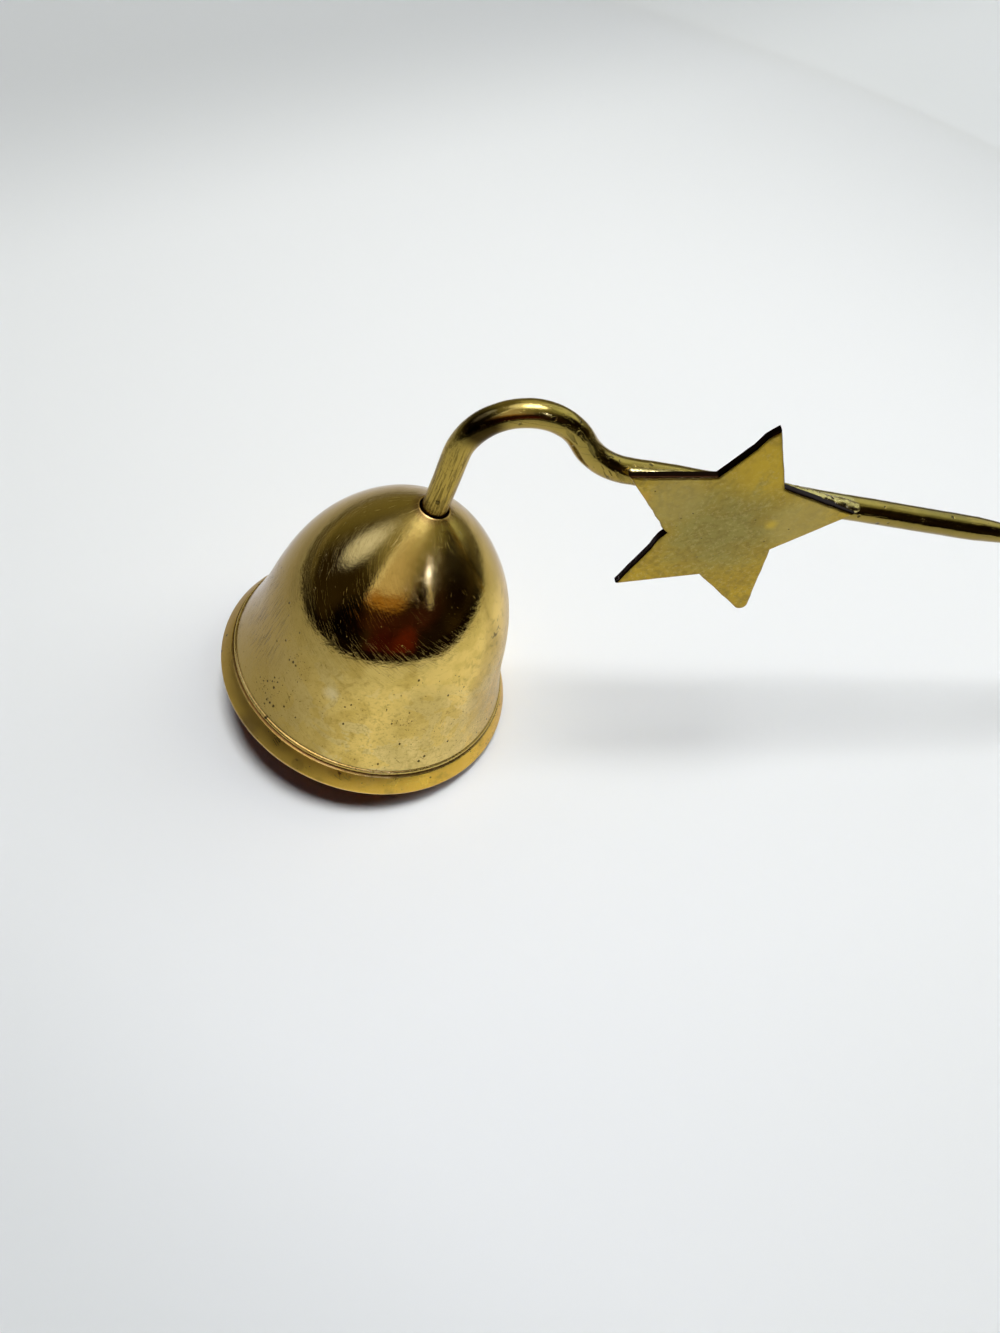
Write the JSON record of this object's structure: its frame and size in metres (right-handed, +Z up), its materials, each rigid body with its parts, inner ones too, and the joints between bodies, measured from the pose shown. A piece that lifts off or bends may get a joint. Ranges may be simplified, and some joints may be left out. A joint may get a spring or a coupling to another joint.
{
  "type": "candle snuffer",
  "caption": "Brass candle snuffer: a bell that turns on a riveted tenon under a gooseneck rod, with a star plate soldered to the straight handle.",
  "frame": {"origin": "on the table, under the middle of the snuffer's box, with the snuffer lying as it is put down: on the rim of its tipped bell and on the handle's end", "axes": "+X along the handle from the bell to the tail, +Z up, the star on the -Y side of the rod"},
  "size_m": [0.2202, 0.045, 0.0588],
  "materials": {
    "bell_brass": "turned and polished, tarnished, pitted",
    "rod_brass": "drawn rod, polished, olive tarnish",
    "star_brass": "sawn plate, satin and mottled",
    "washer_brass": "stamped, darkened by smoke",
    "solder": "hard solder, smooth and bright"
  },
  "bodies": {
    "handle": {"rod": "rod_brass", "rivet_washer": "washer_brass", "star": "star_brass", "neck_solder": "solder", "grip_solder": "solder"},
    "bell": {"bell": "bell_brass"}
  },
  "joints": [
    {"name": "bell_turn", "type": "hinge", "parent": "handle", "child": "bell", "pos_m": [-0.08197, 0, 0.03784], "axis": [0.1741, 0, 0.9847], "continuous": true}
  ]
}
